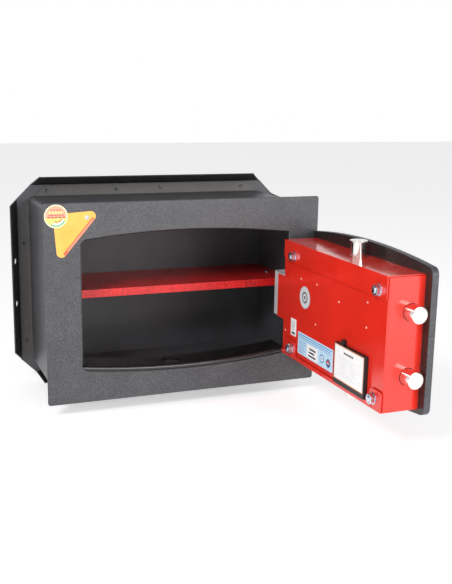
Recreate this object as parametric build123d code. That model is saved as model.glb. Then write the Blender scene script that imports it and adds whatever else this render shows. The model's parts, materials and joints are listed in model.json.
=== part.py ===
from build123d import *
import math
import os

# Built-in wall safe with an electronic lock. Millimetres, +Z up, front towards -Y.
# The origin is the middle of the front frame, in its back face, where the finished wall ends.
# The door is modelled swung open by a right angle, with its bolts thrown.

# ---- driving dimensions: safe ----
frame_w = 420.0
frame_h = 290.0
frame_t = 3.0
body_depth = 190.0
body_w = 396.0
body_h = 266.0
wall_t = 3.0
rear_t = 2.0
flange_w = 17.0
flange_t = 2.0

opening_left = -159.5
opening_right = 161.5
opening_z = -2.5
opening_half = 95.0
arch_rise = 10.5
opening_corner = 10.0
hinge_side_corner = 1.0

ring_half_w = 217.5
ring_half_h = 152.5
ring_chamfer = 23.3
wing_out = 13.3
wing_forward = 26.4
wing_t = 2.0
wing_slants = (9.0, 21.0)
side_wing_slants = (18.0, 7.0)

jamb_t = 4.0
jamb_depth = 47.0
jamb_bend = 3.5
jamb_inset_bottom = 6.5
jamb_inset_top = 2.0
jamb_inset_side = 1.5

shelf_front = 63.0
shelf_top = 6.5
shelf_t = 1.5
shelf_lip = 12.0

# ---- driving dimensions: door, in its own axes ----
# In door axes x is the distance in from the inner face, y the distance from the hinge edge.
door_t = 10.0
door_w = 316.8
door_gap = 0.7
door_face_x = 201.7
door_edge_y = -6.0
hinge_x = 182.85
hinge_y = 18.85

case_start = 7.0
lip_start = 11.0
case_end = 303.3
tongue_tip = -14.0
case_top = 83.3
case_bottom = -92.3
case_depth = 51.0
case_t = 1.5
lip_gap = 1.2
lip_t = 1.5
top_lip = 31.0
bottom_lip = 6.0
lip_end = 1.2

bolt_r = 11.0
bolt_x = 18.5
bolt_zs = (36.5, -46.7)
bolt_throw = 20.0
rod_r = 10.0
rod_x = 22.5
rod_y = 175.5
rod_top_end = 106.4
rod_bottom_end = -113.5

spindle_r = 4.0
cam_z = -5.0
cam_peg = 10.0
peg_r = 3.0
slot_half = 3.6

arm_low = -41.0
arm_high = 27.5
arm_t = 4.5
knuckle_r = 8.0
pin_r = 4.0

nut_ys = (44.0, 283.0)
nut_zs = (62.5, -78.0)
stud_r = 4.0
nut_flats = 13.0
nut_h = 6.5

box_y = (183.0, 264.0)
box_z = (-86.0, -29.5)
box_inner = 36.0
box_outer = 55.4

lip_face = case_depth + lip_gap + lip_t
arch_r = ((opening_right - opening_left) ** 2 / 4 + arch_rise**2) / (2 * arch_rise)
opening_x = (opening_left + opening_right) / 2


def block(x0, x1, y0, y1, z0, z1):
    """A box given by its limits along each axis."""
    return Pos((x0 + x1) / 2, (y0 + y1) / 2, (z0 + z1) / 2) * Box(x1 - x0, y1 - y0, z1 - z0)


def rod(axis, radius, start, end, a, b):
    """A round bar along X, Y or Z from start to end; a and b are its other two coordinates."""
    length = end - start
    middle = (start + end) / 2
    if axis == "x":
        return Pos(middle, a, b) * Rot(0, 90, 0) * Cylinder(radius, length)
    if axis == "y":
        return Pos(a, middle, b) * Rot(90, 0, 0) * Cylinder(radius, length)
    return Pos(a, b, middle) * Cylinder(radius, length)


def on_door(shape):
    """Turn a shape from door axes to the open door's place."""
    return Pos(door_face_x, door_edge_y, 0) * Rot(0, 0, 180) * shape


def arched_outline(left, right, inset):
    """The opening's outline in X and Z, with straight sides and arched top and bottom."""
    mid = (left + right) / 2
    half = (right - left) / 2
    radius = arch_r - inset
    top_corner = opening_half - inset + arch_rise - (arch_r - math.sqrt(radius**2 - half**2)) + inset
    top_mid = opening_half + arch_rise - inset
    high = opening_z + top_corner
    low = opening_z - top_corner
    outline = ThreePointArc((left, high), (mid, opening_z + top_mid), (right, high))
    outline += Line((right, high), (right, low))
    outline += ThreePointArc((right, low), (mid, opening_z - top_mid), (left, low))
    outline += Line((left, low), (left, high))
    return make_face(outline)


def upright(sketch, y0, y1):
    """Extrude a sketch drawn in X and Z from y0 to y1."""
    return Pos(0, y1, 0) * Rot(90, 0, 0) * extrude(sketch, y1 - y0)


def filled_arch(left, right, inset, corner):
    """The arched outline, rounded at the bolt side and nearly square at the hinge side."""
    face = arched_outline(left, right, inset)
    face = fillet(face.vertices().sort_by(Axis.X)[:2], corner)
    return fillet(face.vertices().sort_by(Axis.X)[-2:], hinge_side_corner)


# ---- safe body ----
def front_frame():
    plate = fillet(Rectangle(frame_w, frame_h).vertices(), 4)
    opening = filled_arch(opening_left, opening_right, 0, opening_corner)
    return upright(plate - opening, -frame_t, 0)


def body_walls():
    half_w = body_w / 2
    half_h = body_h / 2
    inner = half_w - wall_t
    side = block(-half_h, half_h, 0, body_depth, inner, half_w)
    side += flange(half_w, half_h - 8.5, half_h - 19)
    over = block(-inner, inner, 0, body_depth, half_h - wall_t, half_h)
    over += flange(half_h, half_w - 8.5, half_w - 25)
    return {
        "body_left_wall": Rot(0, 270, 0) * side,
        "body_right_wall": Rot(0, 90, 0) * side,
        "body_top_wall": over,
        "body_bottom_wall": Rot(0, 180, 0) * over,
    }


def flange(reach, inner_half, outer_half):
    """The back end of a wall bent outward, with its ends cut at an angle."""
    low = reach - wall_t
    high = reach + flange_w
    corners = [(-inner_half, low), (inner_half, low), (outer_half, high), (-outer_half, high)]
    shape = Polyline(*corners, close=True)
    return upright(make_face(shape), body_depth - flange_t, body_depth)


def wing(length, hole_pitch, slants):
    """One bent edge of the anchor plate, along X, leaning forward from a fold at the origin."""
    lean = math.atan2(wing_forward, wing_out)
    width = math.hypot(wing_out, wing_forward)
    half = length / 2
    corners = [(-half, 0), (half, 0), (half - slants[1], width), (slants[0] - half, width)]
    shape = Polyline(*corners, close=True)
    sheet = extrude(make_face(shape), wing_t)
    for side in (-1, 1):
        if hole_pitch:
            sheet -= Pos(side * hole_pitch, width / 2, 0) * Cylinder(5, 4 * wing_t)
    return Rot(90 + math.degrees(lean), 0, 0) * sheet


def anchor_plate():
    w = ring_half_w
    h = ring_half_h
    c = ring_chamfer
    corners = [(-w, -h + c), (-w + c, -h), (w - c, -h), (w, -h + c)]
    corners += [(w, h - c), (w - c, h), (-w + c, h), (-w, h - c)]
    plate = upright(make_face(Polyline(*corners, close=True)), body_depth, body_depth + rear_t)
    edge_w = 2 * (w - c)
    edge_h = 2 * (h - c)
    mirrored_side = tuple(reversed(side_wing_slants))
    mirrored_top = tuple(reversed(wing_slants))
    edges = (
        (0, h, edge_w, 0, wing_slants),
        (90, w, edge_h, 34, mirrored_side),
        (180, h, edge_w, 0, mirrored_top),
        (270, w, edge_h, 34, side_wing_slants),
    )
    for turn, reach, length, pitch, slants in edges:
        plate += Rot(0, turn, 0) * Pos(0, body_depth + rear_t, reach) * wing(length, pitch, slants)
    return plate


def arch_band(inset, thick, outward):
    """A band that follows the arch: outward is 1 for the top and -1 for the bottom."""
    left = opening_left + jamb_inset_side + 0.5
    right = opening_right - 1
    inner = arched_outline(opening_left, opening_right, inset)
    outer = arched_outline(opening_left, opening_right, inset - thick)
    strip = outer - inner
    window = Pos((left + right) / 2, opening_z + outward * 100) * Rectangle(right - left, 160)
    return strip & window


def arched_jamb(inset, outward):
    strip = upright(arch_band(inset, jamb_t, outward), 0, jamb_depth)
    lap = upright(arch_band(inset, inset + 14, outward), 0, jamb_t)
    strip += lap
    front = strip.faces().sort_by(Axis.Y)[0].edges().filter_by(GeomType.CIRCLE)
    bend = front.sort_by(Axis.Z)[0 if outward > 0 else -1]
    strip = fillet(bend, jamb_bend)
    hole = rod("z", 14.5, -150, 150, 158.0 - rod_y, rod_x)
    limits = (0, 150) if outward > 0 else (-150, 0)
    window = block(-200, 200, -1, jamb_depth + 1, *limits)
    return strip - (hole & window)


def side_jamb():
    face = opening_left + jamb_inset_side
    low = opening_z - opening_half + 9
    high = opening_z + opening_half - 5
    shape = block(face - 3, face, 0, jamb_depth, low, high) + block(face - 20, face, 0, 3, low, high)
    for z in bolt_zs:
        shape -= rod("x", 13, face - 30, face + 5, bolt_x, z)
    return shape


def hinge_bracket(z0, z1):
    wall = body_w / 2 - wall_t
    tab = block(hinge_x - 9, wall - 2, hinge_y - 9, hinge_y + 9, z0, z1)
    foot = block(wall - 2, wall, hinge_y - 12, hinge_y + 25, z0 - 8, z1 + 8)
    return tab + foot - rod("z", pin_r + 0.05, z0 - 1, z1 + 1, hinge_x, hinge_y)


def hinge_pin():
    shaft = rod("z", pin_r, arm_low - 8, arm_high + 8, hinge_x, hinge_y)
    return shaft + rod("z", 6.5, arm_high + 8, arm_high + 11, hinge_x, hinge_y)


def shelf():
    reach = body_w / 2 - wall_t - 0.5
    tray = block(-reach, reach, shelf_front, body_depth - 0.5, shelf_top - shelf_t, shelf_top)
    lip = block(-reach, reach, shelf_front, shelf_front + shelf_t, shelf_top - shelf_lip, shelf_top)
    tray += lip
    for side in (-1, 1):
        tray -= rod("z", 2.6, 0, 20, side * 180, 117)
    return tray


def shelf_rail(side):
    wall = side * (body_w / 2 - wall_t)
    under = shelf_top - shelf_t
    inner = wall - side * 24
    ledge = block(min(wall, inner), max(wall, inner), 75, 180, under - 2, under)
    foot_x = wall - side * 2
    return ledge + block(min(wall, foot_x), max(wall, foot_x), 75, 180, under - 22, under)


def shelf_screws():
    return [rod("z", 4.5, shelf_top, shelf_top + 1.6, side * 180, 117) for side in (-1, 1)]


# ---- door ----
def door_plate():
    mid = door_w / 2
    left = opening_left + door_gap
    outline = filled_arch(left, left + door_w, door_gap, opening_corner)
    plate = upright(Pos(-left - mid, 0) * outline, -door_t / 2, door_t / 2)
    plate = Pos(-door_t / 2, mid, 0) * Rot(0, 0, -90) * plate
    return plate - rod("x", spindle_r + 0.5, -door_t - 1, 1, rod_y, cam_z)


def hinge_arm():
    """A bent plate from the knuckle round the frame's edge to a foot on the door."""
    knuckle_x = door_face_x - hinge_x
    knuckle_y = door_edge_y - hinge_y
    back = knuckle_y - knuckle_r - 1
    outer = case_depth - case_t - 0.3
    z0 = arm_low
    z1 = arm_high
    arm = block(knuckle_x, outer, back, back + arm_t, z0, z1)
    arm += block(outer - arm_t, outer, back, 34, z0, z1)
    arm += block(0, outer, 34 - arm_t, 34, z0, z1)
    arm += block(0, arm_t, 34 - arm_t, 66, z0, z1)
    corners = arm.edges().filter_by(Axis.Z)
    bend = [e for e in corners if e.center().X > outer - 0.1]
    arm = fillet(bend, 5)
    arm += rod("z", knuckle_r, z0, z1, knuckle_x, knuckle_y)
    return arm - rod("z", pin_r + 0.06, z0 - 1, z1 + 1, knuckle_x, knuckle_y)


def case_openings():
    """What is cut from the lock case: bolt holes, the hinge arm's slot and the battery bay."""
    cuts = [rod("y", bolt_r + 0.6, case_end - 5, case_end + 5, bolt_x, z) for z in bolt_zs]
    inner_face = case_depth - case_t
    cuts.append(block(-1, inner_face, case_start - 1, case_start + case_t + 1, arm_low - 1, arm_high + 1))
    bay_y = (box_y[0] + 2, box_y[1] - 2)
    cuts.append(block(box_inner, case_depth + 1, *bay_y, box_z[0] + 2, box_z[1] - 2))
    for y in nut_ys:
        for z in nut_zs:
            cuts.append(rod("x", stud_r + 0.4, case_depth - 5, case_depth + 5, y, z))
    return cuts


def lock_case():
    low = case_bottom + lip_t + 0.2
    high = case_top - lip_t - 0.2
    shell = block(0, case_depth, case_start, case_end, low, high)
    shell = fillet([e for e in shell.edges().filter_by(Axis.Z) if e.center().X > 1], 3)
    inside = block(-1, case_depth - case_t, case_start + case_t, case_end - case_t, low - 1, high + 1)
    tongue = block(case_depth - case_t, case_depth, tongue_tip, case_start + 4, arm_low, arm_high - 1.5)
    shape = shell - inside + tongue
    for cut in case_openings():
        shape -= cut
    return shape


def case_channel_top():
    end = case_end - lip_end
    wall = block(0, lip_face, lip_start, end, case_top - lip_t, case_top)
    lip = block(case_depth + lip_gap, lip_face, lip_start, end, case_top - top_lip, case_top)
    low = [e for e in lip.edges().filter_by(Axis.X) if e.center().Z < case_top - 5]
    lip = fillet(min(low, key=lambda e: e.center().Y), 10)
    low = [e for e in lip.edges().filter_by(Axis.X) if e.center().Z < case_top - 5]
    lip = fillet(max(low, key=lambda e: e.center().Y), 5)
    shape = wall + lip - rod("z", rod_r + 1, case_top - 9, case_top + 9, rod_x, rod_y)
    for y in nut_ys:
        shape -= rod("x", stud_r + 0.3, case_depth - 1, case_depth + 5, y, nut_zs[0])
    return shape


def case_channel_bottom():
    face = (case_depth + lip_gap, lip_face)
    end = case_end - lip_end
    wall = block(0, lip_face, lip_start, end, case_bottom, case_bottom + lip_t)
    shape = wall + block(*face, lip_start, end, case_bottom, case_bottom + bottom_lip)
    for y0, y1 in ((lip_start + 9, 58), (end - 29, end)):
        tab = block(*face, y0, y1, case_bottom, nut_zs[1] + 13)
        shape += fillet([e for e in tab.edges().filter_by(Axis.X) if e.center().Z > nut_zs[1]], 6)
    shape -= rod("z", rod_r + 1, case_bottom - 9, case_bottom + 9, rod_x, rod_y)
    for y in nut_ys:
        shape -= rod("x", stud_r + 0.3, case_depth - 1, case_depth + 5, y, nut_zs[1])
    return shape


def stud(y, z):
    return rod("x", stud_r, 0, lip_face + nut_h + 1.5, y, z)


def nut(y, z):
    start = lip_face
    hexagon = extrude(RegularPolygon(nut_flats / 2, 6, major_radius=False), nut_h)
    hexagon = Pos(start, y, z) * Rot(0, 90, 0) * hexagon
    flange = rod("x", 6.4, start, start + 1, y, z)
    return hexagon + flange - rod("x", stud_r + 0.02, start - 1, start + nut_h + 1, y, z)


def at_nuts(maker):
    return [maker(y, z) for y in nut_ys for z in nut_zs]


def rivets():
    places = [(65, 33), (115, 34.5), (180, 24), (254, 40), (115, -23.5), (254, 7), (17, -56)]
    return [rod("x", 1.6, case_depth, case_depth + 0.8, y, z) for y, z in places]


# ---- lock works ----
def thrown_bolt(z):
    """A round bolt with a small chamfer and a turned ring on its end."""
    tip = case_end + bolt_throw
    shape = rod("y", bolt_r, 248, tip, bolt_x, z)
    shape = chamfer(shape.edges().sort_by(Axis.Y)[-1], 0.8)
    ring = rod("y", 7, tip - 0.6, tip + 1, bolt_x, z) - rod("y", 5.6, tip - 2, tip + 2, bolt_x, z)
    return shape - ring


def bolt_bar():
    plate = block(30.3, 33.3, 118, 248, cam_z + 1, cam_z + 19)
    upright_plate = block(30.3, 33.3, 228, 248, -62, 52)
    web = block(6, 33.3, 245, 248, -62, 52)
    shape = plate + upright_plate + web
    peg_y = rod_y + cam_peg
    shape -= block(29, 35, peg_y - slot_half, peg_y + slot_half, cam_z + 5.5, cam_z + 19.5)
    for notch in (134, 134 + bolt_throw):
        shape -= block(29, 35, notch - 3.8, notch + 3.8, cam_z, cam_z + 7)
    return shape


def bolt_screws():
    return [rod("y", 5, 241, 245, bolt_x, z) for z in bolt_zs]


def vertical_rod(end, root, side):
    """A round rod with a flat tail that takes a cam peg; the upper one ends in a cap."""
    outward = 1 if end > root else -1
    low = min(end, root)
    high = max(end, root)
    shape = rod("z", rod_r, low, high, rod_x, rod_y)
    if outward > 0:
        shape += fillet(rod("z", 12, end - 2.4, end, rod_x, rod_y).edges(), 0.8)
    slot_z = cam_z + outward * cam_peg
    tail_z = sorted((root, slot_z - outward * 7))
    tail_y = sorted((rod_y + side * 4.7, rod_y + side * 21))
    shape += block(rod_x - 1.5, rod_x + 1.5, tail_y[0], tail_y[1], tail_z[0], tail_z[1])
    web_z = sorted((root, root - outward * 6))
    web_y = sorted((rod_y - side * 8, rod_y + side * 21))
    shape += block(rod_x - 1.5, rod_x + 1.5, web_y[0], web_y[1], web_z[0], web_z[1])
    slot_y = sorted((rod_y + side * 6.4, rod_y + side * 17.9))
    slot = block(rod_x - 3, rod_x + 3, slot_y[0], slot_y[1], slot_z - slot_half, slot_z + slot_half)
    return shape - slot


def cam():
    disc = rod("x", 20, 26, 29.6, rod_y, cam_z)
    disc += rod("x", peg_r, 29.6, 34.3, rod_y + cam_peg, cam_z + cam_peg)
    disc += rod("x", peg_r, 20.3, 26, rod_y - cam_peg, cam_z + cam_peg)
    disc += rod("x", peg_r, 20.3, 26, rod_y + cam_peg, cam_z - cam_peg)
    return disc - rod("x", spindle_r + 0.02, 25, 31, rod_y, cam_z)


def spindle():
    return rod("x", spindle_r, -36, 29.9, rod_y, cam_z)


def knob():
    """A round knob with a raised grip across it and a skirt by the door."""
    skirt = rod("x", 24, -17, -12.6, rod_y, cam_z)
    skirt = chamfer(skirt.edges().sort_by(Axis.X)[0], 2)
    hub = rod("x", 18, -40, -17, rod_y, cam_z)
    hub = fillet(hub.edges().sort_by(Axis.X)[0], 3)
    bar = block(-40, -17, rod_y - 6, rod_y + 6, cam_z - 23, cam_z + 23)
    bar = fillet(bar.edges().filter_by(Axis.X), 5)
    return skirt + hub + bar - rod("x", spindle_r + 0.02, -36, -10, rod_y, cam_z)


def knob_rose():
    rose = rod("x", 27, -12.4, -door_t, rod_y, cam_z)
    rose = chamfer(rose.edges().sort_by(Axis.X)[0], 1)
    return rose - rod("x", spindle_r + 0.5, -13, -9, rod_y, cam_z)


def bolt_guide():
    shape = block(0, 34, 262, 266, -66, 56) + block(0, 3, 266, 276, -66, 56)
    for z in bolt_zs:
        shape -= rod("y", bolt_r + 0.35, 260, 268, bolt_x, z)
    return shape


def rod_guide(z0, foot):
    shape = block(0, 35, rod_y - 16, rod_y + 16, z0, z0 + 3)
    low = min(z0, z0 + foot)
    high = max(z0 + 3, z0 + foot)
    shape += block(0, 3, rod_y - 16, rod_y + 16, low, high)
    return shape - rod("z", rod_r + 0.35, z0 - 1, z0 + 4, rod_x, rod_y)


def hardplate():
    shape = block(0, 3, rod_y - 42, rod_y + 50, cam_z - 45, cam_z + 45)
    return shape - rod("x", spindle_r + 0.5, -1, 4, rod_y, cam_z)


def lock_unit():
    shape = block(25, 44, 118, 150, -46.5, cam_z - 1)
    shape = fillet(shape.edges().filter_by(Axis.X), 2)
    return shape - rod("z", 3.1, cam_z - 16, cam_z, 31.8, 134)


def lock_unit_bracket():
    return block(0, 25, 121, 124, -44, -9) + block(22, 25, 124, 147, -44, -9)


def lock_plunger():
    return rod("z", 3.0, cam_z - 15.5, cam_z + 0.5, 31.8, 134)


def battery_box():
    y0, y1 = box_y
    z0, z1 = box_z
    rim = block(case_depth, box_outer, y0, y1, z0, z1)
    tub = block(box_inner, case_depth, y0 + 2.4, y1 - 2.4, z0 + 2.4, z1 - 2.4)
    bay = block(box_inner + 2, box_outer + 1, y0 + 4.4, y1 - 4.4, z0 + 4.4, z1 - 4.4)
    return rim + tub - bay


def battery_lid():
    y0, y1 = box_y
    z0, z1 = box_z
    lid = block(box_outer, box_outer + 1.6, y0, y1, z0, z1)
    return lid + block(box_outer - 3, box_outer, y0 + 5, y1 - 5, z1 - 6.4, z1 - 4.9)


def battery_clip():
    return block(case_depth + 0.4, box_outer + 1.6, 201, 207, box_z[1] + 0.2, box_z[1] + 7)


def batteries():
    cells = []
    for n in range(4):
        y = (box_y[0] + box_y[1]) / 2 + (n - 1.5) * 15
        cells.append(rod("z", 7.1, box_z[0] + 5, box_z[0] + 52, 45.3, y))
    return cells


def keypad_housing():
    shape = block(-24, -door_t, 214, 284, -52, 44)
    shape = fillet(shape.edges().filter_by(Axis.X), 8)
    return chamfer(shape.faces().sort_by(Axis.X)[0].edges(), 1.5)


def keypad_membrane():
    shape = block(-24.5, -24, 220, 278, -46, 38)
    return fillet(shape.edges().filter_by(Axis.X), 5)


def label(depth, y0, y1, z0, z1, thick=0.3):
    return block(depth, depth + thick, y0, y1, z0, z1)


def frame_sticker_round():
    return Pos(-192.6, 0, 127.3) * upright(Circle(16.4), -frame_t - 0.6, -frame_t - 0.3)


def frame_sticker_triangle():
    corners = Polyline((-197, 130), (-128.2, 134.2), (-191.6, 59), close=True)
    face = fillet(make_face(corners).vertices(), 7)
    return upright(face, -frame_t - 0.3, -frame_t)


def build():
    """Every sub-part by name, in the safe's frame with the door open."""
    parts = {"front_frame": front_frame(), "anchor_plate": anchor_plate()}
    parts.update(body_walls())
    parts["jamb_top"] = arched_jamb(jamb_inset_top, 1)
    parts["jamb_bottom"] = arched_jamb(jamb_inset_bottom, -1)
    parts["jamb_bolt_side"] = side_jamb()
    parts["hinge_bracket_upper"] = hinge_bracket(arm_high + 2, arm_high + 8)
    parts["hinge_bracket_lower"] = hinge_bracket(arm_low - 8, arm_low - 2)
    parts["hinge_pin"] = hinge_pin()
    parts["shelf"] = shelf()
    parts["shelf_rail_left"] = shelf_rail(-1)
    parts["shelf_rail_right"] = shelf_rail(1)
    parts["shelf_screws"] = Compound(children=shelf_screws())
    parts["frame_sticker_round"] = frame_sticker_round()
    parts["frame_sticker_triangle"] = frame_sticker_triangle()
    door = {
        "door_plate": door_plate(),
        "hinge_arm": hinge_arm(),
        "lock_case": lock_case(),
        "case_channel_top": case_channel_top(),
        "case_channel_bottom": case_channel_bottom(),
        "case_studs": Compound(children=at_nuts(stud)),
        "case_nuts": Compound(children=at_nuts(nut)),
        "case_rivets": Compound(children=rivets()),
        "bolt_upper": thrown_bolt(bolt_zs[0]),
        "bolt_lower": thrown_bolt(bolt_zs[1]),
        "bolt_bar": bolt_bar(),
        "bolt_screws": Compound(children=bolt_screws()),
        "rod_top": vertical_rod(rod_top_end, 60, -1),
        "rod_bottom": vertical_rod(rod_bottom_end, -68, 1),
        "cam": cam(),
        "spindle": spindle(),
        "knob": knob(),
        "knob_rose": knob_rose(),
        "bolt_guide": bolt_guide(),
        "rod_guide_top": rod_guide(72, -14),
        "rod_guide_bottom": rod_guide(-84, 14),
        "hardplate": hardplate(),
        "lock_unit": lock_unit(),
        "lock_unit_bracket": lock_unit_bracket(),
        "lock_plunger": lock_plunger(),
        "battery_box": battery_box(),
        "battery_lid": battery_lid(),
        "battery_clip": battery_clip(),
        "batteries": Compound(children=batteries()),
        "keypad_housing": keypad_housing(),
        "keypad_membrane": keypad_membrane(),
        "sticker_round": Pos(0, 79.2, 7.8) * rod("x", 16.5, case_depth, case_depth + 0.3, 0, 0),
        "label_small": label(case_depth, 36.2, 54.2, -58, -32),
        "label_strip": label(case_depth, 61.7, 170.5, -79.5, -46.5),
        "label_notice": label(box_outer + 1.6, 185.6, 262.5, -79, -30.5),
    }
    for name, shape in door.items():
        parts[name] = on_door(shape)
    return parts


def main():
    os.makedirs("parts", exist_ok=True)
    for name, shape in build().items():
        export_step(shape, f"parts/{name}.step")


main()
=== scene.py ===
import json
import math
import bmesh
import bpy
from mathutils import Matrix, Vector


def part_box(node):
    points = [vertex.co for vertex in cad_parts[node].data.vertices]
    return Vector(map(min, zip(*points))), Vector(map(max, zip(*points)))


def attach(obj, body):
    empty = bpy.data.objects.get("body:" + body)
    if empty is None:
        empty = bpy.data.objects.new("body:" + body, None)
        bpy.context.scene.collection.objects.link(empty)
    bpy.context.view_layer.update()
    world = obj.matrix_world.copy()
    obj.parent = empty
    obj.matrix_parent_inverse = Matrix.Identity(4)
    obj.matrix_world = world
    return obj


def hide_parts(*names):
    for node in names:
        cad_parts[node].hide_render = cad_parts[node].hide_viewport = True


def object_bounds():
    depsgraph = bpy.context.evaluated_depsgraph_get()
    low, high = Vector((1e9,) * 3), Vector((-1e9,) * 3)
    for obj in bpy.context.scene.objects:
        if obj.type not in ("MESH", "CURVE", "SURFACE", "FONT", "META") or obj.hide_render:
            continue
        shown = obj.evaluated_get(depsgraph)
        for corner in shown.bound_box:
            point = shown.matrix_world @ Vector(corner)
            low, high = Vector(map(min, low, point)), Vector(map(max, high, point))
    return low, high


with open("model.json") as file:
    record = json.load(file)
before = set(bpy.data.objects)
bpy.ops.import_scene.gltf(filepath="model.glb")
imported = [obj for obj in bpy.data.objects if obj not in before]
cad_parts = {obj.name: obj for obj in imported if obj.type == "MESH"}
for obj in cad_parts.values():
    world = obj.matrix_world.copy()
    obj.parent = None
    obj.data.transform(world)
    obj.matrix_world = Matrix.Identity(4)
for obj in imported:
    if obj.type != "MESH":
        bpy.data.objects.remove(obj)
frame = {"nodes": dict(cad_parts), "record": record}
cad_box = [list(v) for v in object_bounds()]
NODES = frame["nodes"]
BODY_OF = {n: b for b, ns in frame["record"]["behaviour"]["bodies"].items() for n in ns}
SLOT_OF = {s["node"]: s["material_slot"] for s in frame["record"]["subparts"]}
MM = 0.001  # shapes are worked out in millimetres, and Blender is in metres


# ---------------------------------------------------------------- materials
class Maker:
    """A small helper around one material's node tree."""

    def __init__(self, name):
        self.mat = bpy.data.materials.new(name)
        self.mat.use_nodes = True
        self.tree = self.mat.node_tree
        self.shader = self.tree.nodes["Principled BSDF"]
        self.coords = self.tree.nodes.new("ShaderNodeTexCoord").outputs["Object"]

    def node(self, kind, **values):
        """A new node; values that start with in_ are for its sockets."""
        made = self.tree.nodes.new("ShaderNode" + kind)
        for key, value in values.items():
            if key.startswith("in_"):
                made.inputs[key[3:].replace("_", " ")].default_value = value
            else:
                setattr(made, key, value)
        return made

    def link(self, output, socket):
        self.tree.links.new(output, socket)
        return self

    def feed(self, output, name):
        """Link to one of the shader's own sockets."""
        return self.link(output, self.shader.inputs[name])

    def noise(self, scale, detail=2.0, rough=0.5, stretch=None):
        made = self.node("TexNoise", in_Scale=scale, in_Detail=detail, in_Roughness=rough)
        source = self.coords
        if stretch:
            mapping = self.node("Mapping", in_Scale=stretch)
            self.link(self.coords, mapping.inputs["Vector"])
            source = mapping.outputs["Vector"]
        self.link(source, made.inputs["Vector"])
        return made.outputs["Fac"]

    def ramp(self, fac, *stops):
        """Colours by a factor, from (place, colour) pairs."""
        made = self.node("ValToRGB")
        ramp = made.color_ramp
        while len(ramp.elements) < len(stops):
            ramp.elements.new(0.5)
        for element, (at, colour) in zip(ramp.elements, stops):
            element.position = at
            element.color = (*colour, 1.0)
        self.link(fac, made.inputs["Fac"])
        return made.outputs["Color"]

    def span(self, fac, low, high):
        """Noise, which mostly lies between 0.3 and 0.7, brought to a range of roughness."""
        made = self.node("MapRange", in_From_Min=0.3, in_From_Max=0.7,
                         in_To_Min=low, in_To_Max=high)
        self.link(fac, made.inputs["Value"])
        return made.outputs["Result"]

    def bump(self, height, strength, distance):
        made = self.node("Bump", in_Strength=strength, in_Distance=distance)
        self.link(height, made.inputs["Height"])
        return made.outputs["Normal"]

    def set(self, **values):
        """Constant values on the shader's own sockets."""
        for key, value in values.items():
            self.shader.inputs[key.replace("_", " ")].default_value = value
        return self


def shade(colour, k):
    return tuple(min(1.0, c * k) for c in colour)


def powder_coat(name, colour, rough=0.42, grain=900, contrast=0.3, bump=0.35):
    """Textured paint: light and dark specks, with slow clouds over them."""
    m = Maker(name)
    fine = m.noise(grain, 3.0, 0.6)
    broad = m.noise(22, 3.0)
    speck = m.ramp(fine, (0.3, shade(colour, 1 - contrast)), (0.5, colour),
                   (0.72, shade(colour, 1 + contrast * 1.8)))
    cloud = m.ramp(broad, (0.35, (0.92, 0.92, 0.92)), (0.65, (1.12, 1.12, 1.12)))
    mix = m.node("Mix", data_type="RGBA", blend_type="MULTIPLY")
    mix.inputs["Factor"].default_value = 1.0
    m.link(speck, mix.inputs["A"]).link(cloud, mix.inputs["B"])
    m.feed(mix.outputs["Result"], "Base Color")
    m.feed(m.span(fine, rough - 0.08, rough + 0.1), "Roughness")
    m.feed(m.bump(fine, bump, 0.0003), "Normal")
    return m.mat


def enamel(name, colour, rough=0.18, peel=160, bump=0.08):
    """Glossy paint with a little orange peel under a clear coat."""
    m = Maker(name)
    broad = m.noise(14)
    peel_noise = m.noise(peel)
    m.feed(m.ramp(broad, (0.3, shade(colour, 0.9)), (0.7, shade(colour, 1.08))), "Base Color")
    m.feed(m.span(m.noise(45, 4.0), rough - 0.05, rough + 0.08), "Roughness")
    m.feed(m.bump(peel_noise, bump, 0.0004), "Normal")
    m.set(Coat_Weight=0.4, Coat_Roughness=0.1)
    return m.mat


def metal(name, colour, rough=0.25, stretch=None, tint=None, bump=0.05, grain=60, metallic=1.0):
    """Bare or plated metal, its noise drawn out along the brushing."""
    m = Maker(name)
    fac = m.noise(grain, 4.0, 0.6, stretch)
    m.feed(m.ramp(fac, (0.3, tint or shade(colour, 0.8)), (0.7, colour)), "Base Color")
    m.feed(m.span(fac, rough - 0.08, rough + 0.12), "Roughness")
    m.feed(m.bump(fac, bump, 0.0003), "Normal")
    m.set(Metallic=metallic)
    return m.mat


def plastic(name, colour, rough=0.45):
    """Moulded plastic with a fine grain."""
    m = Maker(name)
    fine = m.noise(1300)
    broad = m.noise(30, 3.0)
    m.feed(m.ramp(broad, (0.3, shade(colour, 0.8)), (0.7, shade(colour, 1.25))), "Base Color")
    m.feed(m.span(fine, rough - 0.05, rough + 0.08), "Roughness")
    m.feed(m.bump(fine, 0.2, 0.0002), "Normal")
    return m.mat


def printed(name, colour):
    """Ink or label film."""
    m = Maker(name)
    broad = m.noise(90, 3.0)
    m.feed(m.ramp(broad, (0.3, shade(colour, 0.94)), (0.7, shade(colour, 1.03))), "Base Color")
    m.feed(m.span(m.noise(200), 0.44, 0.56), "Roughness")
    m.feed(m.bump(m.noise(1500), 0.05, 0.0001), "Normal")
    return m.mat


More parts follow.
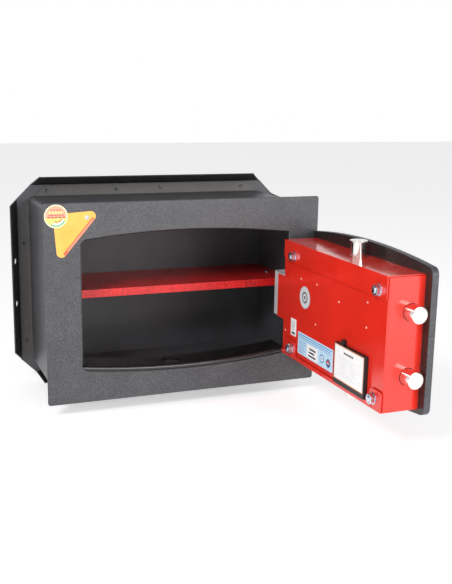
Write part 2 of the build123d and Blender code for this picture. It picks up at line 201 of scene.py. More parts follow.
MATS = {
    "anthracite": powder_coat("anthracite", (0.05, 0.051, 0.056), contrast=0.75),
    # Black on the jambs and weld spots; on the anchor plate's wings it is painted shade.
    "black_paint": enamel("black_paint", (0.011, 0.0105, 0.01), rough=0.3, peel=50, bump=0.03),
    "red_paint": enamel("red_paint", (0.72, 0.024, 0.012), 0.16),
    "zinc": metal("zinc", (0.8, 0.82, 0.85), 0.2, tint=(0.5, 0.58, 0.75), bump=0.04, grain=200),
    "nickel": metal("nickel", (0.86, 0.85, 0.82), 0.13, tint=(0.72, 0.7, 0.66), bump=0.02,
                    grain=240),
    "bare_steel": metal("bare_steel", (0.5, 0.5, 0.51), 0.35, (1, 8, 1)),
    "black_plastic": plastic("black_plastic", (0.014, 0.013, 0.013)),
    "keypad": plastic("keypad", (0.035, 0.035, 0.038), 0.35),
    "label_white": printed("label_white", (0.84, 0.84, 0.82)),
    "label_grey": printed("label_grey", (0.46, 0.47, 0.48)),
    "label_blue": printed("label_blue", (0.5, 0.7, 0.84)),
    "label_yellow": printed("label_yellow", (0.86, 0.44, 0.075)),
    "battery": enamel("battery", (0.02, 0.02, 0.022)),
}
INKS = {
    "cream": (0.9, 0.76, 0.45), "pink": (0.78, 0.36, 0.24), "sun": (0.93, 0.66, 0.16),
    "maroon": (0.42, 0.07, 0.05), "scarlet": (0.86, 0.09, 0.04), "orange": (0.85, 0.36, 0.03),
    "rose": (0.92, 0.32, 0.22), "green": (0.16, 0.42, 0.32), "dark": (0.03, 0.03, 0.04),
    "navy": (0.05, 0.1, 0.25), "sky": (0.1, 0.3, 0.6), "grey": (0.4, 0.42, 0.45),
    "pale": (0.62, 0.64, 0.66), "white": (0.86, 0.86, 0.85), "amber": (0.8, 0.3, 0.12),
}
INK_MATS = {name: printed("ink_" + name, colour) for name, colour in INKS.items()}
FLANGE_PAINT = powder_coat("flange_paint", (0.05, 0.047, 0.043), 0.4, grain=700, contrast=0.25)
ARM_STEEL = metal("arm_steel", (0.78, 0.78, 0.77), 0.45, (1, 1, 6), (0.66, 0.67, 0.68), 0.08, 90,
                  metallic=0.35)
# A near-black copy of the powder coat: painted shade for the door plate's inner face.
DOOR_INSIDE_SHADE = powder_coat("door_inside_shade", (0.016, 0.015, 0.014), 0.3, bump=0.2)
SHELF_RED = powder_coat("shelf_red", (0.55, 0.012, 0.012), 0.3, grain=800, contrast=0.45, bump=0.25)
LED_GREEN = plastic("led_green", (0.05, 0.35, 0.08), 0.2)
SLEEVE = enamel("sleeve", (0.75, 0.5, 0.1), 0.25)
RIVET = enamel("rivet_paint", (0.8, 0.42, 0.32), 0.3)


# ---------------------------------------------------------------- geometry helpers
def smooth_shade(mesh, angle):
    """Smooth shading, with the edges sharper than an angle kept sharp."""
    for face in mesh.polygons:
        face.use_smooth = True
    mesh.set_sharp_from_angle(angle=math.radians(angle))


def place(mesh, name, body, slot, material=None, smooth=30):
    obj = bpy.data.objects.new(name, mesh)
    bpy.context.scene.collection.objects.link(obj)
    mesh.materials.clear()
    mesh.materials.append(material or MATS[slot])
    smooth_shade(mesh, smooth)
    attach(obj, body)
    return obj


def apply_modifiers(obj):
    bpy.context.view_layer.update()
    graph = bpy.context.evaluated_depsgraph_get()
    mesh = bpy.data.meshes.new_from_object(obj.evaluated_get(graph))
    obj.modifiers.clear()
    obj.data = mesh


def refine(node, width):
    """A copy of a CAD node with its sharp edges rounded."""
    mesh = NODES[node].data.copy()
    bm = bmesh.new()
    bm.from_mesh(mesh)
    bmesh.ops.remove_doubles(bm, verts=bm.verts, dist=1e-6)
    same_plane = math.radians(0.05)
    bmesh.ops.dissolve_limit(bm, angle_limit=same_plane, verts=bm.verts, edges=bm.edges)
    bm.to_mesh(mesh)
    bm.free()
    obj = place(mesh, node + "_fine", BODY_OF[node], SLOT_OF[node])
    bevel = obj.modifiers.new("bevel", "BEVEL")
    bevel.width = width * MM
    bevel.segments = 2
    bevel.limit_method = "ANGLE"
    bevel.angle_limit = math.radians(32)
    bevel.miter_outer = "MITER_ARC"
    bevel.use_clamp_overlap = True
    apply_modifiers(obj)
    smooth_shade(obj.data, 40)
    weigh = obj.modifiers.new("weigh", "WEIGHTED_NORMAL")  # keeps the large faces flat
    weigh.keep_sharp = True
    weigh.weight = 80
    apply_modifiers(obj)
    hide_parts(node)
    return obj


def build(name, verts, faces, body, slot, replaces=(), material=None, smooth=35):
    """A closed mesh piece from points in millimetres."""
    mesh = bpy.data.meshes.new(name)
    mesh.from_pydata([tuple(c * MM for c in v) for v in verts], [], faces)
    bm = bmesh.new()
    bm.from_mesh(mesh)
    bmesh.ops.remove_doubles(bm, verts=bm.verts, dist=1e-7)
    bmesh.ops.recalc_face_normals(bm, faces=bm.faces)
    bm.to_mesh(mesh)
    bm.free()
    obj = place(mesh, name, body, slot, material, smooth)
    if replaces:
        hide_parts(*replaces)
    return obj


def merged(*parts):
    """One list of points and faces from several."""
    verts, faces = [], []
    for more_verts, more_faces in parts:
        start = len(verts)
        verts += more_verts
        faces += [[k + start for k in face] for face in more_faces]
    return verts, faces


def on_axis(axis, at, along, a, b):
    """A point from its distance along an axis and its two distances across it."""
    x, y, z = at
    if axis == "x":
        return (x + along, y + a, z + b)
    if axis == "y":
        return (x + a, y + along, z + b)
    return (x + a, y + b, z + along)


def lathe(profile, axis, at, segments=48, closed=False, radius_of=None):
    """A turned shape.

    The profile holds (radius, distance along the axis) pairs. radius_of changes a radius by
    the turn, and a distance may be a function of the changed radius.
    """
    verts, rings, faces = [], [], []
    for radius, along in profile:
        count = 1 if radius == 0 else segments
        ring = []
        for k in range(count):
            turn = math.tau * k / segments
            r = radius_of(radius, turn) if radius_of else radius
            step = along(r) if callable(along) else along
            ring.append(len(verts))
            verts.append(on_axis(axis, at, step, r * math.cos(turn), r * math.sin(turn)))
        rings.append(ring)
    pairs = list(zip(rings, rings[1:])) + ([(rings[-1], rings[0])] if closed else [])
    for one, two in pairs:
        for k in range(segments):
            n = (k + 1) % segments
            quad = [one[k % len(one)], one[n % len(one)], two[n % len(two)], two[k % len(two)]]
            faces.append(list(dict.fromkeys(quad)))
    return verts, faces


def islands(node):
    """The boxes, in millimetres, of the separate solids of a CAD node."""
    bm = bmesh.new()
    bm.from_mesh(NODES[node].data)
    bmesh.ops.remove_doubles(bm, verts=bm.verts, dist=1e-6)
    left = set(bm.verts)
    boxes = []
    while left:
        front = [left.pop()]
        group = []
        while front:
            vert = front.pop()
            group.append(vert.co / MM)
            for edge in vert.link_edges:
                other = edge.other_vert(vert)
                if other in left:
                    left.remove(other)
                    front.append(other)
        boxes.append((Vector(map(min, *group)), Vector(map(max, *group))))
    bm.free()
    return sorted(boxes, key=lambda box: tuple(round(c, 3) for c in box[0]))


def box_mm(node):
    low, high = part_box(node)
    return Vector(low) / MM, Vector(high) / MM


def rounded(corners, radius, steps=6):
    """The outline of a convex polygon with its corners rounded."""
    points = []
    count = len(corners)
    for k in range(count):
        here = Vector(corners[k])
        before = (Vector(corners[k - 1]) - here).normalized()
        after = (Vector(corners[(k + 1) % count]) - here).normalized()
        half = before.angle(after) / 2
        centre = here + (before + after).normalized() * radius / math.sin(half)
        start = (here + before * radius / math.tan(half) - centre).normalized()
        end = (here + after * radius / math.tan(half) - centre).normalized()
        points += [tuple(centre + start.slerp(end, n / steps) * radius) for n in range(steps + 1)]
    return points


def rect(u0, v0, u1, v1):
    return [(u0, v0), (u1, v0), (u1, v1), (u0, v1)]


def bars(u0, v0, u1, v1, step, count):
    """A row of equal bars, from the corners of the first."""
    return [rect(u0 + step * k, v0, u1 + step * k, v1) for k in range(count)]


def disc(u, v, radius, segments=40):
    turns = [math.tau * k / segments for k in range(segments)]
    return [(u + radius * math.cos(t), v + radius * math.sin(t)) for t in turns]


def arc(u, v, inner, outer, start, end):
    """A ring's part between two angles in degrees."""
    turns = [math.radians(start + (end - start) * k / 24) for k in range(25)]
    out = [(u + outer * math.cos(t), v + outer * math.sin(t)) for t in turns]
    return out + [(u + inner * math.cos(t), v + inner * math.sin(t)) for t in reversed(turns)]


def cut_below(points, v):
    """The part of a round outline that lies below a level."""
    return [(a, min(b, v)) for a, b in points]


class Print:
    """A printed label that faces -X or -Y, u to the right and v up as seen.

    It is a thin sheet as thick as its CAD node, with a stack of inked shapes on it.
    """

    LAYER = 0.03  # each ink stands this much prouder than the one before

    def __init__(self, node, axis, outline):
        low, high = box_mm(node)
        self.node = node
        self.axis = "xy".index(axis)
        self.front = low[self.axis]
        self.verts, self.faces, self.of_face, self.inks, self.level = [], [], [], [None], 0
        self.prism(None, outline, -(high - low)[self.axis], 0)

    def prism(self, ink, outline, low, high):
        """A solid between two heights over the sheet's face."""
        if ink not in self.inks:
            self.inks.append(ink)
        start, count = len(self.verts), len(outline)
        for h in (low, high):
            depth = self.front - h
            self.verts += [(depth, -u, v) if self.axis == 0 else (u, depth, v) for u, v in outline]
        faces = [list(range(start, start + count)), list(range(start + count, start + 2 * count))]
        for k in range(count):
            n = (k + 1) % count
            faces.append([start + k, start + n, start + count + n, start + count + k])
        self.faces += faces
        self.of_face += [self.inks.index(ink)] * len(faces)

    def add(self, ink, *outlines):
        """A layer of one ink, of one shape or more."""
        self.level += 1
        for outline in outlines:
            self.prism(ink, outline, 0, self.LAYER * self.level)
        return self

    def finish(self):
        name = self.node + "_print"
        mesh = bpy.data.meshes.new(name)
        mesh.from_pydata([tuple(c * MM for c in v) for v in self.verts], [], self.faces)
        mesh.polygons.foreach_set("material_index", self.of_face)
        bm = bmesh.new()
        bm.from_mesh(mesh)
        bmesh.ops.recalc_face_normals(bm, faces=bm.faces)
        bm.to_mesh(mesh)
        bm.free()
        obj = bpy.data.objects.new(name, mesh)
        bpy.context.scene.collection.objects.link(obj)
        for ink in self.inks:
            mesh.materials.append(INK_MATS[ink] if ink else MATS[SLOT_OF[self.node]])
        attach(obj, BODY_OF[self.node])
        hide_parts(self.node)


# ---------------------------------------------------------------- CAD nodes
# Every node gets its slot's material. Most are then replaced by detailed pieces.
for name, obj in NODES.items():
    obj.data.materials.clear()
    obj.data.materials.append(MATS[SLOT_OF[name]])
    for face in obj.data.polygons:
        face.use_smooth = False

BEVELS = {
    "front_frame": 0.9, "door_plate": 1.1, "lock_case": 0.6, "case_channel_top": 0.5,
    "case_channel_bottom": 0.5, "hinge_arm": 0.7, "jamb_top": 0.5, "jamb_bottom": 0.5,
    "jamb_bolt_side": 0.5, "anchor_plate": 0.5, "shelf": 0.4, "shelf_rail_left": 0.4,
    "shelf_rail_right": 0.4, "battery_box": 0.6, "battery_lid": 0.5, "battery_clip": 0.5,
    "keypad_housing": 0.8, "keypad_membrane": 0.15, "knob": 0.7, "knob_rose": 0.4,
    "hinge_bracket_upper": 0.4, "hinge_bracket_lower": 0.4, "hinge_pin": 0.5, "rod_top": 0.3,
    "rod_bottom": 0.5, "bolt_bar": 0.3, "lock_unit": 0.4, "bolt_guide": 0.3, "rod_guide_top": 0.3,
    "rod_guide_bottom": 0.3, "hardplate": 0.3, "lock_unit_bracket": 0.3, "cam": 0.3,
    "lock_plunger": 0.3, "spindle": 0.3,
}
FINE = {name: refine(name, width) for name, width in BEVELS.items()}
FINE["hinge_arm"].data.materials[0] = ARM_STEEL
FINE["shelf"].data.materials[0] = SHELF_RED
# The door plate's inner face, the faces turned to -X, takes the near-black copy: painted shade.
FINE["door_plate"].data.materials.append(DOOR_INSIDE_SHADE)
for face in FINE["door_plate"].data.polygons:
    face.material_index = 1 if face.normal.x < -0.9 else 0

# The back wall is the part of the anchor plate that shows inside the safe, and has its paint.
# The rest of the plate, with its wings, keeps the near-black slot paint: painted shade on faces
# that turn down and forward.
plate = FINE["anchor_plate"].data
plate.materials.append(MATS["anthracite"])
inner_x, inner_z = box_mm("body_right_wall")[0][0], box_mm("body_top_wall")[0][2] + 3
for face in plate.polygons:
    x, z = abs(face.center.x), abs(face.center.z)
    if abs(face.normal.y) > 0.9 and x < inner_x * MM and z < inner_z * MM:
        face.material_index = 1

# ---------------------------------------------------------------- safe body
WALL = 3.0
SHELL_BEND = 6.0  # outer radius of the shell's four long edges
FLANGE_WIDTH = 17
FLANGE_THICK = 2.0
FLANGE_BEND = 3.0
TOP_FLANGE = (133, 189.5, 173)  # distance from the middle, half length at the root and at the rim
SIDE_FLANGE = (198, 124.5, 114)
BACK = box_mm("body_top_wall")[1][1]


def body_shell():
    """The bent body shell: a tube with rounded long edges."""
    half_w = box_mm("body_right_wall")[0][0] + WALL
    half_h = box_mm("body_top_wall")[0][2] + WALL
    rings = []
    for y, inset in ((0.0, 0.0), (BACK - 1.0, 0.0), (BACK - 1.0, WALL), (0.0, WALL)):
        w, h = half_w - inset, half_h - inset
        rings.append([(x, y, z) for x, z in rounded(rect(-w, -h, w, h), SHELL_BEND - inset, 8)])
    count = len(rings[0])
    faces = []
    for r in range(4):
        a, b = r * count, ((r + 1) % 4) * count
        for k in range(count):
            n = (k + 1) % count
            faces.append([a + k, a + n, b + n, b + k])
    return [v for ring in rings for v in ring], faces


def bent_flange(turn, reach, root_half, rim_half):
    """An outward flange with a rounded root; turn is in degrees about Y, from the top edge."""
    section = []
    for k in range(7):
        t = math.radians(90 * k / 6)
        section.append((FLANGE_BEND * (1 - math.cos(t)) - 0.5,
                        BACK - FLANGE_THICK - FLANGE_BEND + FLANGE_BEND * math.sin(t)))
    section += [(FLANGE_WIDTH, BACK - FLANGE_THICK), (FLANGE_WIDTH, BACK), (-0.5, BACK)]
    cos, sin = math.cos(math.radians(turn)), math.sin(math.radians(turn))
    verts = []
    for side in (-1, 1):
        for out, y in section:
            share = max(0.0, out) / FLANGE_WIDTH
            x, z = side * (root_half + (rim_half - root_half) * share), reach + out
            verts.append((x * cos + z * sin, y, z * cos - x * sin))
    n = len(section)
    faces = [list(range(n)), list(range(n, 2 * n))]
    faces += [[k, (k + 1) % n, n + (k + 1) % n, n + k] for k in range(n)]
    return verts, faces


build("body_shell", *body_shell(), "safe", "anthracite",
      ("body_left_wall", "body_right_wall", "body_top_wall", "body_bottom_wall"), smooth=30)
flanges = merged(bent_flange(0, *TOP_FLANGE), bent_flange(180, *TOP_FLANGE),
                 bent_flange(90, *SIDE_FLANGE), bent_flange(270, *SIDE_FLANGE))
build("body_flanges", *flanges, "safe", "anthracite", material=FLANGE_PAINT, smooth=30)

SPOTS = [(-169, 142.5), (-57, 143), (17, 144), (159, 143.5),
         (-207.5, -98), (-207.5, 60), (207.5, 80), (207.5, -80)]
SPOT = [(0, -0.05), (1.5, -0.1), (2.0, -0.45), (2.8, -0.35), (3.1, 0.0), (3.1, 0.6), (0, 0.6)]
build("weld_spots", *merged(*[lathe(SPOT, "y", (x, BACK - FLANGE_THICK, z), 24) for x, z in SPOTS]),
      "safe", "anthracite", material=MATS["black_paint"])


# ---------------------------------------------------------------- fixings, bolts and cells
def stud_shape(low, high):
    """A stud along X with a threaded tip."""
    centre = (low + high) / 2
    radius = (high[1] - low[1]) / 2
    profile = [(0, low[0]), (radius - 0.8, low[0]), (radius, low[0] + 0.8)]
    x = low[0] + 1.4
    while x < low[0] + 12:
        profile += [(radius, x), (radius - 0.45, x + 0.5), (radius, x + 1.0)]
        x += 1.25
    profile += [(radius, high[0]), (0, high[0])]
    return lathe(profile, "x", (0, centre[1], centre[2]), 24)


def nut_shape(low, high):
    """A hexagon nut on a washer, its outer corners turned down."""
    centre = (low + high) / 2
    flat, bore, washer = 6.5, 4.0, 7.9  # the nut's half width across its flats, and two radii
    corner = flat + 1                   # stands for the hexagon's own radius at each turn
    tip, base = low[0], high[0]

    def hexagon(radius, turn):
        if radius != corner:
            return radius
        return flat / math.cos((turn + math.pi / 6) % (math.pi / 3) - math.pi / 6)

    profile = [(bore, base), (flat + 0.2, base), (washer, base - 0.05), (washer, base - 0.8),
               (7.0, base - 1.1), (corner, base - 1.1), (corner, lambda r: tip + (r - flat) * 0.6),
               (flat - 0.35, tip), (bore + 0.7, tip), (bore, tip + 0.7)]
    return lathe(profile, "x", (0, centre[1], centre[2]), 48, closed=True, radius_of=hexagon)


def rivet_shape(low, high):
    """A domed rivet head."""
    centre = (low + high) / 2
    radius, tall = (high[1] - low[1]) / 2, high[0] - low[0]
    turns = [math.radians(a) for a in (20, 40, 60, 75, 90)]
    dome = [(radius * math.sin(t), high[0] - tall * math.cos(t)) for t in turns]
    profile = [(0, low[0]), *dome, (0, high[0])]
    return lathe(profile, "x", (0, centre[1], centre[2]), 24)


def screw_shape(low, high):
    """A low domed screw head with a socket."""
    centre = (low + high) / 2
    radius, tall = (high[0] - low[0]) / 2, high[2] - low[2]
    profile = [(0, low[2]), (radius, low[2]), (radius, low[2] + tall * 0.35),
               (radius * 0.8, high[2] - 0.15), (radius * 0.5, high[2]),
               (radius * 0.38, high[2] - 0.1), (radius * 0.36, low[2] + 0.5), (0, low[2] + 0.4)]
    return lathe(profile, "z", (centre[0], centre[1], 0), 32)


def bolt_shape(low, high):
    """A locking bolt along Y with a chamfer and turned rings on its end."""
    centre = (low + high) / 2
    r, tip, root = (high[2] - low[2]) / 2, low[1], high[1]
    profile = [(0, tip + 0.25), (2.2, tip + 0.2), (3.0, tip), (5.4, tip), (5.7, tip + 0.5),
               (7.0, tip + 0.5), (7.3, tip), (r - 0.9, tip), (r - 0.25, tip + 0.3), (r, tip + 1.0),
               (r, root - 0.6), (r - 0.6, root), (0, root)]
    return lathe(profile, "y", (centre[0], 0, centre[2]), 72)


def cell_shape(low, high):
    """A round battery cell with its contact on top."""
    centre = (low + high) / 2
    r, top = (high[0] - low[0]) / 2, high[2]
    profile = [(0, low[2]), (r - 0.8, low[2]), (r, low[2] + 0.6), (r, top - 2.0),
               (r - 0.9, top - 1.4), (2.6, top - 1.4), (2.6, top - 0.2), (2.2, top), (0, top)]
    return lathe(profile, "z", (centre[0], centre[1], 0), 32)


def each_solid(shape, node, slot, material=None, smooth=35):
    """One piece for a CAD node, with the same shape in place of each of its solids."""
    solids = [shape(*box) for box in islands(node)]
    return build(node + "_fine", *merged(*solids), BODY_OF[node], slot, (node,), material, smooth)


each_solid(nut_shape, "case_nuts", "zinc", smooth=25)
each_solid(stud_shape, "case_studs", "zinc")
each_solid(rivet_shape, "case_rivets", "red_paint", RIVET)
each_solid(screw_shape, "shelf_screws", "zinc")
for node in ("bolt_upper", "bolt_lower"):
    build(node + "_fine", *bolt_shape(*box_mm(node)), "bolt_work", "nickel", (node,), smooth=28)
cells = each_solid(cell_shape, "batteries", "battery")
cells.data.materials.append(SLEEVE)
SLEEVE_FROM = box_mm("batteries")[1][2] - 15  # the cells' upper 15 mm have another colour
for face in cells.data.polygons:
    if face.center.z > SLEEVE_FROM * MM:
        face.material_index = 1


# ---------------------------------------------------------------- printed labels, all generic
def print_frame_round():
    """The round sticker on the front frame: rows of bars over three curved stripes."""
    low, high = box_mm("frame_sticker_round")
    u, v, r = (low[0] + high[0]) / 2, (low[2] + high[2]) / 2, (high[0] - low[0]) / 2
    label = Print("frame_sticker_round", "y", disc(u, v, r))
    label.add("cream", disc(u, v, r - 0.3)).add("pink", disc(u, v, r - 1.6))
    label.add("sun", cut_below(disc(u, v, r - 1.6), v - 2.5))
    label.add("maroon", *bars(u - 8, v + 8.2, u - 5, v + 9.6, 4.2, 4))
    label.add("sun", *bars(u - 9.5, v + 4.2, u - 6.8, v + 6.8, 4, 5))
    label.add("maroon", *bars(u - 10, v + 1.0, u - 7.3, v + 2.6, 3.6, 6))
    label.add("maroon", *bars(u - 12, v - 2.4, u - 8.2, v - 0.4, 5.2, 5))
    label.add("scarlet", arc(u + 1, v, 7.0, 8.4, -115, -25))
    label.add("white", arc(u, v, 9.6, 11.6, -110, -25))
    label.add("green", arc(u, v, 12.0, 14.4, -125, -30)).finish()


def print_frame_triangle():
    """The three-cornered sticker: rows of short bars along its slanting edge, and a pale dot."""
    left, right, bottom = (-197, 130), (-128.2, 134.2), (-191.6, 59)
    start_at = Vector(bottom)
    slant = Vector(right) - start_at
    length = slant.length
    edge = slant.normalized()
    inward = Vector((-edge[1], edge[0]))

    def strip(start, end, near, far):
        corners = ((start, near), (end, near), (end, far), (start, far))
        return [tuple(start_at + edge * s + inward * d) for s, d in corners]

    rows = []
    for k in range(10):
        d = 9.5 + k * 2.9
        start, end = 22 + 0.45 * d + (k * 7 % 5), length - 24 - 0.75 * d - (k * 5 % 7)
        while start < end - 2:
            size = 2.2 + (start * 7.3 + k * 3.1) % 3.4
            rows.append(strip(start, min(end, start + size), d, d + 0.75))
            start += size + 0.9
    label = Print("frame_sticker_triangle", "y", rounded([left, bottom, right], 7))
    label.add("scarlet", strip(17, length - 16, 0.2, 4.2))
    label.add("rose", strip(24, length - 18, 0.9, 2.4))
    label.add("orange", strip(19, length - 19, 5.6, 6.3))
    label.add("orange", *rows)
    label.add("grey", disc(-149.5, 124.5, 3.0)).add("pale", disc(-150.0, 125.1, 2.0))
    label.add("grey", arc(-149.5, 124.5, 0.6, 1.4, 0, 300)).finish()


def print_door_round():
    """The round sticker on the lock case: a ring and a dot."""
    low, high = box_mm("sticker_round")
    u, v, r = -(low[1] + high[1]) / 2, (low[2] + high[2]) / 2, (high[2] - low[2]) / 2
    label = Print("sticker_round", "x", disc(u, v, r))
    label.add("dark", arc(u, v, r - 0.7, r - 0.25, -80, 60)).add("pale", disc(u, v, r - 0.9))
    label.add("dark", disc(u, v, 8.4)).add("pale", disc(u, v, 6.2))
    label.add("dark", disc(u, v, 2.4)).finish()


def door_label(node):
    """A four-cornered label on the lock case, and its left, bottom, right and top as seen."""
    low, high = box_mm(node)
    u0, v0, u1, v1 = -high[1], low[2], -low[1], high[2]
    return Print(node, "x", rounded(rect(u0, v0, u1, v1), 0.8, 4)), u0, v0, u1, v1


def print_small():
    """A block and a frame of thin lines."""
    label, u0, v0, u1, v1 = door_label("label_small")
    label.add("dark", rect(u0 + 3, v0 + 2.4, u1 - 3.2, v0 + 5.4))
    label.add("grey", rect(u0 + 6, v1 - 5, u1 - 6, v1 - 4.1),
              rect(u0 + 6.5, v0 + 9, u1 - 6.5, v0 + 9.9),
              rect(u0 + 6.2, v0 + 9, u0 + 7.0, v1 - 4.1),
              rect(u1 - 7.0, v0 + 9, u1 - 6.2, v1 - 4.1),
              rect(u0 + 8.4, v0 + 12, u0 + 9.1, v1 - 7),
              rect(u0 + 10.2, v0 + 12, u0 + 10.9, v1 - 7)).finish()


def print_strip():
    """Long and short lines, a white field with bars, a ring and a disc."""
    label, u0, v0, u1, v1 = door_label("label_strip")
    ring_u, ring_v = u0 + 77, v0 + 12
    short_lines = [rect(u0 + 3, v0 + 3 + 3.2 * k, u0 + 20 + k * 5 % 7, v0 + 4 + 3.2 * k)
                   for k in range(6)]
    field_bars = [rect(u0 + 35 + 1.5 * k, v0 + 4 + 5.2 * k, u0 + 58 - (2 - k) % 2 * 4,
                       v0 + 6.6 + 5.2 * k) for k in range(3)]
    label.add("white", rect(u0 + 30, v0 + 1.8, u0 + 64, v1 - 11.5))
    label.add("sky", rect(u0 + 2, v1 - 3.6, u1 - 3, v1 - 2.2),
              rect(u0 + 2, v1 - 6.6, u1 - 8, v1 - 5.4),
              rect(u0 + 2, v1 - 9.2, u1 - 5, v1 - 8.4), *short_lines)
    label.add("dark", *field_bars)
    label.add("sky", disc(ring_u, ring_v, 6.4)).add("white", disc(ring_u, ring_v, 4.2))
    label.add("sky", disc(ring_u, ring_v, 1.8))
    label.add("navy", disc(u0 + 96, v0 + 10.5, 6.2, 20))
    label.add("scarlet", [(u0 + 92, v0 + 10.5), (u0 + 100, v0 + 10.5), (u0 + 96, v0 + 15)])
    label.add("white", rect(u0 + 92, v0 + 9.6, u0 + 100, v0 + 10.6)).finish()


def print_notice():
    """A bordered label with a row of blocks over eight broken lines."""
    label, u0, v0, u1, v1 = door_label("label_notice")
    label.add("amber", rounded(rect(u0 + 0.1, v0 + 0.1, u1 - 0.1, v1 - 0.1), 0.8, 4))
    label.add("white", rounded(rect(u0 + 1.3, v0 + 1.3, u1 - 1.3, v1 - 1.3), 0.8, 4))
    label.add("dark", *bars(u0 + 25, v1 - 9.5, u0 + 28.2, v1 - 6.6, 4.3, 6))
    lines = []
    for k in range(8):
        start = u0 + 9
        while start < u1 - 10 - (k * 13 % 19):
            size = 3 + (start * 3.7 + k * 5.3) % 5
            end = min(start + size, u1 - 8)
            lines.append(rect(start, v1 - 15.6 - 3.6 * k, end, v1 - 14.9 - 3.6 * k))
            start += size + 1.3
    label.add("pale", *lines).finish()


print_frame_round()
print_frame_triangle()
print_door_round()
print_small()
print_strip()
print_notice()

# ---------------------------------------------------------------- keypad
PAD_LOW, PAD_HIGH = box_mm("keypad_membrane")
PAD_FRONT = PAD_HIGH[0]
PAD_MIDDLE = (PAD_LOW[1] + PAD_HIGH[1]) / 2
LAMP_AT = (PAD_FRONT, PAD_MIDDLE, PAD_HIGH[2] - 8)
KEYS = ["1", "2", "3", "4", "5", "6", "7", "8", "9", "", "0", ""]
KEY_WIDE, KEY_TALL = 12.0, 11.0
COLUMN_STEP, ROW_STEP = 17, 15
FIRST_ROW = PAD_HIGH[2] - 24
KEY_AT = [(PAD_MIDDLE + COLUMN_STEP * (k % 3 - 1), FIRST_ROW - ROW_STEP * (k // 3))
          for k in range(len(KEYS))]


def key_shape(u, v):
    """A rounded key with a slightly dished top."""
    half_w, half_t = KEY_WIDE / 2, KEY_TALL / 2
    base = rounded(rect(u - half_w, v - half_t, u + half_w, v + half_t), 2.2, 4)
    verts = []
    for inset, h in ((0.0, -0.1), (0.0, 0.5), (0.25, 0.8), (0.7, 0.95), (3.5, 0.75)):
        k = 1 - 2 * inset / KEY_WIDE
        verts += [(PAD_FRONT + h, u + (a - u) * k, v + (b - v) * k) for a, b in base]
    count = len(base)
    faces = [list(range(count)), list(range(4 * count, 5 * count))]
    for n in range(4):
        here, above = n * count, (n + 1) * count
        faces += [[here + k, here + (k + 1) % count, above + (k + 1) % count, above + k]
                  for k in range(count)]
    return verts, faces


def digit_shape(text, u, v):
    """A raised digit on a key."""
    curve = bpy.data.curves.new("digit", "FONT")
    curve.body = text
    curve.size = 6.5
    curve.extrude = 0.05
    curve.align_x, curve.align_y = "CENTER", "CENTER"
    holder = bpy.data.objects.new("digit", curve)
    mesh = bpy.data.meshes.new_from_object(holder)
    verts = [(PAD_FRONT + 0.82 + p.co.z, u + p.co.x, v + p.co.y) for p in mesh.vertices]
    faces = [list(f.vertices) for f in mesh.polygons]
    bpy.data.objects.remove(holder)
    bpy.data.curves.remove(curve)
    return verts, faces


keys = merged(*[key_shape(*at) for at in KEY_AT])
digits = merged(*[digit_shape(text, *at) for text, at in zip(KEYS, KEY_AT) if text])
LAMP = [(0, -0.2), (2.2, -0.2), (2.2, 0.3), (1.8, 0.8), (1.0, 1.1), (0, 1.2)]
BEZEL = [(2.3, -0.2), (3.4, -0.2), (3.4, 0.3), (3.0, 0.7), (2.4, 0.5)]
build("keypad_keys", *keys, "door", "black_plastic", smooth=40)
build("keypad_digits", *digits, "door", "label_white", smooth=20)
build("keypad_lamp", *lathe(LAMP, "x", LAMP_AT, 24), "door", "keypad", material=LED_GREEN)
build("keypad_bezel", *lathe(BEZEL, "x", LAMP_AT, 32, closed=True), "door", "zinc")

# ---------------------------------------------------------------- floor, lights and surroundings
HALF_FLOOR = 7.0
FLOOR_Z = cad_box[0][2] - 0.001  # just under the object
floor_mesh = bpy.data.meshes.new("floor")
floor_corners = rect(-HALF_FLOOR, -HALF_FLOOR, HALF_FLOOR, HALF_FLOOR)
floor_mesh.from_pydata([(x, y, FLOOR_Z) for x, y in floor_corners], [], [(0, 1, 2, 3)])
floor = bpy.data.objects.new("floor", floor_mesh)
bpy.context.scene.collection.objects.link(floor)
paper = Maker("floor")
paper.set(Base_Color=(0.86, 0.86, 0.86, 1.0), Roughness=0.8)
paper.set(Emission_Color=(1, 1, 1, 1), Emission_Strength=0.46)
floor_mesh.materials.append(paper.mat)


def area_light(name, at, aim, size, power):
    data = bpy.data.lights.new(name, "AREA")
    data.energy = power
    data.size = size
    obj = bpy.data.objects.new(name, data)
    obj.location = at
    obj.rotation_euler = (Vector(aim) - Vector(at)).to_track_quat("-Z", "Y").to_euler()
    bpy.context.scene.collection.objects.link(obj)


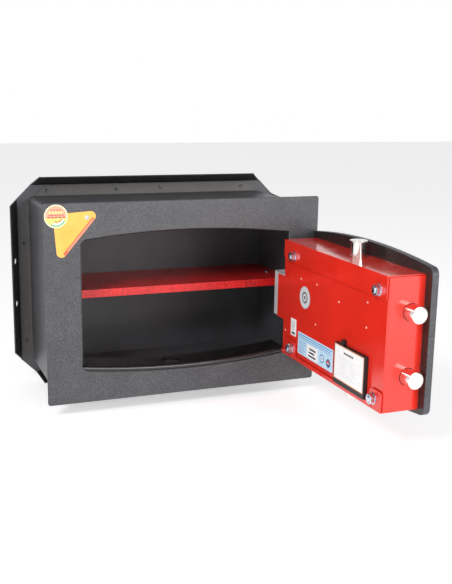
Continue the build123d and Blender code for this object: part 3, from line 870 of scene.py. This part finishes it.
area_light("key", (-1.15, -1.3, 1.15), (0.1, -0.15, 0), 0.5, 23)
area_light("side", (0.8, -2.0, 0.5), (0.1, -0.2, 0), 0.9, 20)
area_light("top", (0.0, -0.6, 1.9), (0, 0, 0), 0.8, 1.5)

# The surroundings are white up to a little over the horizon and grey overhead.
WHITE_UP_TO, GREY_FROM = 0.22, 0.6  # heights of a direction, whose length is 1
world = bpy.data.worlds.new("studio")
world.use_nodes = True
tree = world.node_tree
direction = tree.nodes.new("ShaderNodeTexCoord")
split = tree.nodes.new("ShaderNodeSeparateXYZ")
sky = tree.nodes.new("ShaderNodeValToRGB")
white, grey = sky.color_ramp.elements
white.position, white.color = WHITE_UP_TO, (1, 1, 1, 1)
grey.position, grey.color = GREY_FROM, (0.3, 0.3, 0.31, 1)
tree.links.new(direction.outputs["Generated"], split.inputs["Vector"])
tree.links.new(split.outputs["Z"], sky.inputs["Fac"])
tree.links.new(sky.outputs["Color"], tree.nodes["Background"].inputs["Color"])
tree.nodes["Background"].inputs["Strength"].default_value = 1.0
bpy.context.scene.world = world
bpy.context.scene.view_settings.view_transform = "Standard"

# ---------------------------------------------------------------- camera, at the photograph's angle
YAW, PITCH, ROLL = math.radians(21.75), math.radians(-12.53), math.radians(0.97)
CAMERA_AT = (-0.42305, -1.21325, 0.29436)
SENSOR = 36.0  # mm, as is the lens
LENS = 70.86823
ahead = Vector((math.sin(YAW) * math.cos(PITCH), math.cos(YAW) * math.cos(PITCH), math.sin(PITCH)))
level_right = Vector((math.cos(YAW), -math.sin(YAW), 0))
level_up = level_right.cross(ahead)
right = math.cos(ROLL) * level_right + math.sin(ROLL) * level_up
up = -math.sin(ROLL) * level_right + math.cos(ROLL) * level_up
cam_data = bpy.data.cameras.new("camera")
cam_data.sensor_fit = "HORIZONTAL"
cam_data.sensor_width = SENSOR
cam_data.lens = LENS
camera = bpy.data.objects.new("camera", cam_data)
turned = Matrix((right, up, -ahead)).transposed().to_4x4()
camera.matrix_world = Matrix.Translation(CAMERA_AT) @ turned
bpy.context.scene.collection.objects.link(camera)
bpy.context.scene.camera = camera
